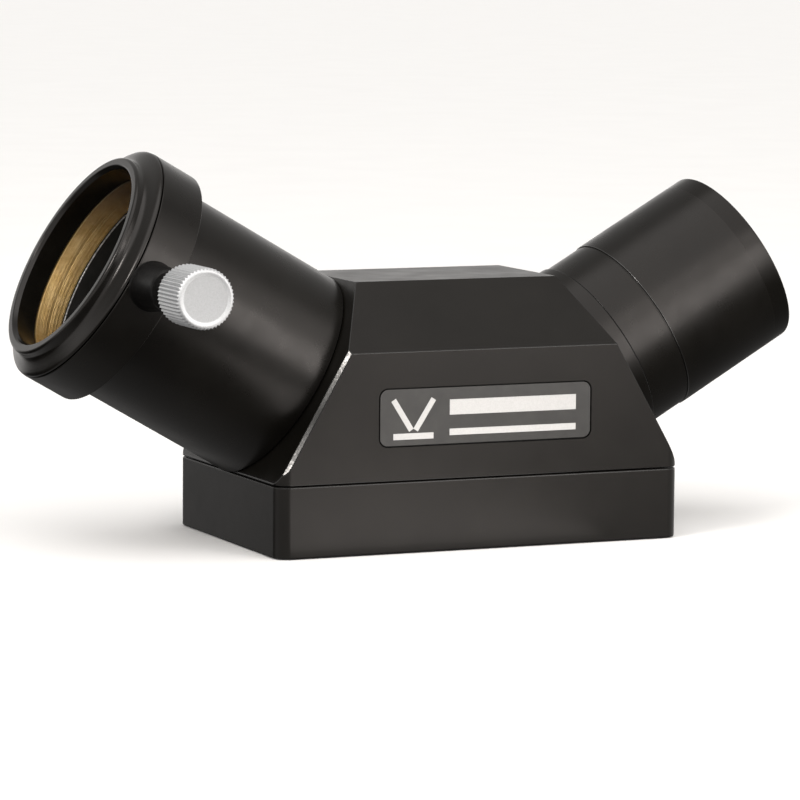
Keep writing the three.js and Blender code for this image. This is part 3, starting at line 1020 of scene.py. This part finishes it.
def make_brass_ring(materials):
    """A split ring: the outline swept most of the way round, and closed at both ends."""
    inner = 25.5
    split = 3.0
    outline, _ = rounded([
        (inner, brass_start, 0.15), (brass_radius, brass_start, 0.2),
        (brass_radius, brass_end, 0.2), (inner, brass_end, 0.12),
    ], steps=3)
    half_gap = split / 2 / inner
    sweep = TURN - 2 * half_gap
    segments = 220
    angles = [math.pi + half_gap + sweep * j / segments for j in range(segments + 1)]
    rows = [[(p.x * math.cos(a), p.x * math.sin(a), p.y) for p in outline] for a in angles]
    bm = bmesh.new()
    skin(bm, rows, [0] * segments, closed_along=False, closed_round=True)
    bmesh.ops.holes_fill(bm, edges=[e for e in bm.edges if e.is_boundary])
    finished("brass_ring", bm, EYE, materials, "brass_clamp_ring", body="clamp_ring")


# ---------------------------------------------------------------- thumbscrew

PITCH = 0.794  # of the thumbscrew's thread


def make_screw_boss(materials):
    """A short black bush whose foot follows the collar's curve."""
    bore, spigot, foot, top = 2.7, 4.0, 6.2, 5.4

    def on_collar(radius, lift):
        def at(angle):
            off_axis = radius * math.cos(angle)
            return radius, math.sqrt((collar_radius + lift) ** 2 - off_axis ** 2)
        return at

    rings = [
        even(bore, boss_start), even(spigot - 0.2, boss_start), even(spigot, boss_start + 0.2),
        on_collar(spigot, 0.05), on_collar(foot + 0.3, 0.05), on_collar(foot + 0.1, 0.35),
        on_collar(foot, 0.9), even(top + 0.02, boss_end - 1.4), even(top, boss_end - 0.55),
        even(top - 0.12, boss_end - 0.2), even(top - 0.4, boss_end - 0.04),
        even(top - 0.6, boss_end), even(bore + 0.4, boss_end), even(bore, boss_end - 0.4),
        even(bore, boss_start),
    ]
    finished("boss_bush", stack(rings, 128), SCREW, materials, "screw_boss")


def make_tip(material):
    """The nylon tip, tapered towards the brass ring."""
    corners = [
        (0, tip_start), (tip_radius - 0.5, tip_start, 0.2), (tip_radius, tip_start + 0.7, 0.3),
        (tip_radius, tip_end, 0.2), (0, tip_end),
    ]
    finished("nylon_tip", lathe(corners, 64), SCREW, [material] * 2, "thumbscrew_tip",
             body="screw_tip")


def make_shank(materials):
    """A threaded stud; the thread is a helix of constant pitch."""
    depth = 0.42
    bevel, run_in = 0.8, 0.4
    step = PITCH / 8

    def thread(height):
        def at(angle):
            phase = (height / PITCH + angle / TURN) % 1
            return shank_radius - depth * abs(2 * phase - 1), height
        return at

    count = int((shank_end - shank_start - 2 * run_in) / step)
    rings = [even(0, shank_start), even(shank_radius - bevel, shank_start)]
    rings += [thread(shank_start + run_in + i * step) for i in range(count)]
    rings += [even(shank_radius - bevel, shank_end), even(0, shank_end)]
    finished("thread_stud", stack(rings, 48), SCREW, materials, "thumbscrew_shank",
             body="thumbscrew", sharp=40)


def paint_valley_shade(bm, teeth, low, high):
    """Gives the bottom of each knurl valley a darker copy of the aluminium, as painted shade,
    between two heights.
    """
    half_width = 0.14
    for face in bm.faces:
        centre = face.calc_center_median()
        phase = (math.atan2(centre.y, centre.x) * teeth / TURN) % 1
        if low < centre.z < high and abs(phase - 0.5) < half_width:
            face.material_index = VALLEY_SHADE


def make_knob(materials):
    """A straight-knurled knob: 48 ridges, chamfered at both ends, and a dished face."""
    teeth, samples = 48, 8
    depth = 0.5
    chamfer = 0.65
    socket, socket_end = 2.7, shank_end + 0.3
    rim, dish = 6.6, 0.3
    face = knob_end - dish

    def ridge(height, limit):
        def at(angle):
            phase = (angle * teeth / TURN) % 1
            crest = abs(2 * phase - 1)
            return min(limit, knob_radius - depth * (1 - crest) ** 0.8), height
        return at

    steps = [i / 3 for i in range(4)]
    rings = [
        even(0, socket_end), even(socket, socket_end), even(socket, knob_start + 0.3),
        even(socket + 0.3, knob_start), even(knob_radius - chamfer - 0.1, knob_start),
    ]
    rings += [ridge(knob_start + 0.05 + chamfer * t, knob_radius - chamfer * (1 - t)) for t in steps]
    rings += [ridge(knob_end - 0.1 - chamfer * (1 - t), knob_radius - chamfer * t) for t in steps]
    rings += [
        even(knob_radius - chamfer - 0.12, knob_end - 0.02), even(knob_radius - 0.95, knob_end),
        even(rim, knob_end), even(rim - 0.15, knob_end - 0.03), even(rim - 0.6, knob_end - 0.25),
        even(rim - 0.8, face), even(rim - 1.1, face - 0.02), even(0, face),
    ]
    dished = 3  # how many of the last rings make up the face
    slots = [0] * (len(rings) - dished) + [DISH] * dished
    bm = stack(rings, teeth * samples, slots)
    paint_valley_shade(bm, teeth, knob_start + chamfer / 2, knob_end - chamfer / 2)
    finished("knurled_knob", bm, SCREW, materials,
             "thumbscrew_knob", body="thumbscrew", sharp=35)


# ---------------------------------------------------------------- nosepiece


def make_flange(materials):
    """The band where the barrel leaves the housing."""
    bore = 24.2
    corners = [(bore, flange_start, 0.1), (flange_radius, flange_start, 0.2),
               (flange_radius - 0.1, flange_end, 0.16), (bore, flange_end, 0.1)]
    finished("nose_flange", lathe(corners), NOSE, materials, "nosepiece_flange")


def make_barrel(materials):
    """The barrel, with a shallow undercut, a filter seat in its mouth and a grooved bore."""
    bore, filter_bore, tail = 22.4, 23.8, 23.9
    undercut, undercut_end, groove = 25.13, 69.8, 0.1
    mouth_band = 5.2
    filter_seat = barrel_end - 7
    start = flange_end + 0.25
    corners = [
        (bore, barrel_start, 0.2), (tail, barrel_start, 0.2), (tail, start),
        (undercut, start, 0.12), (undercut, undercut_end - 0.45, 0.08),
        (undercut - groove, undercut_end - 0.35), (undercut - groove, undercut_end - 0.05),
        (barrel_radius, undercut_end, 0.2), (barrel_radius, barrel_end - mouth_band),
        (barrel_radius, barrel_end, 0.5), (filter_bore + 0.3, barrel_end, 0.2),
        *grooves(filter_bore - 0.1, filter_seat + 0.6, barrel_end - 0.8, 0.75, 0.4),
        (filter_bore, filter_seat), (bore, filter_seat, 0.15),
        *grooves(bore, barrel_start + 1, filter_seat - 1, 1.5, 0.6),
    ]

    def finish(radius, height):
        if radius < filter_bore + 0.4:
            return BORE if height < barrel_end - 0.3 else 0
        if radius > undercut and abs(height - undercut_end - 0.1) < 0.12:
            return STEP
        return MOUTH if height > barrel_end - mouth_band else 0

    finished("nose_barrel", lathe(corners, slot_of=finish), NOSE, materials,
             "nosepiece_barrel")


# ---------------------------------------------------------------- the whole scene

milled = milled_anodised("anodised_milled")
edge = worn_edge("anodised_edge")
# Bare aluminium flecks, with a painted glint that depends on height.
bare_glint_edge = bare_edge_with_painted_glint("bare_edge_with_painted_glint")
eye_turned = turned_anodised("anodised_eyepiece_tube", EYE_AXIS)
nose_turned = turned_anodised("anodised_nosepiece", NOSE_AXIS)
eye_inside = inner_black("dull_black_eyepiece", EYE_AXIS)
nose_inside = inner_black("dull_black_nosepiece", NOSE_AXIS)
oxide = black_oxide("black_oxide_screws", UP)
boss_oxide = black_oxide("black_oxide_boss", SCREW_AXIS)
step_edge = worn_edge("anodised_step", roughness=0.16, specular=1.0)
nose_mouth = turned_anodised("anodised_nosepiece_mouth", NOSE_AXIS,
                             roughness=0.23, specular=0.205)

make_camera()
make_world()
make_stage()
make_lights()

make_base_plate([milled, edge, nose_inside])
make_mirror([mirror_coat("mirror_coat"), ground_glass("mirror_ground_glass")])
make_mirror_pads(silicone_bead("silicone"))
make_base_screws([oxide])
make_housing([milled, edge, nose_inside, bare_glint_edge])
make_nameplate([gloss_plate("nameplate_black"), edge], white_ink("nameplate_ink"))
make_eyepiece_tube([eye_turned, edge, eye_inside, bare_glint_edge])
make_clamp_collar([eye_turned, eye_turned, eye_inside])
make_front_ring([gloss_anodised("front_ring_gloss", EYE_AXIS)] * 2)
make_brass_ring([turned_brass("brass", EYE_AXIS)])
make_screw_boss([boss_oxide])
make_tip(natural_nylon("nylon"))
make_shank([stainless("stainless", SCREW_AXIS)])
# One aluminium in three tones: painted light on the knurled sides, less on the dish, and painted
# shade in the knurl valleys.
make_knob([
    tumbled_aluminium_painted_light("tumbled_aluminium_painted_light", SCREW_AXIS, 1.32),
    tumbled_aluminium_painted_light("dished_aluminium", SCREW_AXIS, 1.0),
    tumbled_aluminium_painted_light("valley_painted_shade", SCREW_AXIS, 0.95),
])
make_flange([nose_turned, edge])
make_barrel([nose_turned, edge, nose_inside, step_edge, nose_mouth])

bpy.context.scene.view_settings.view_transform = "Standard"
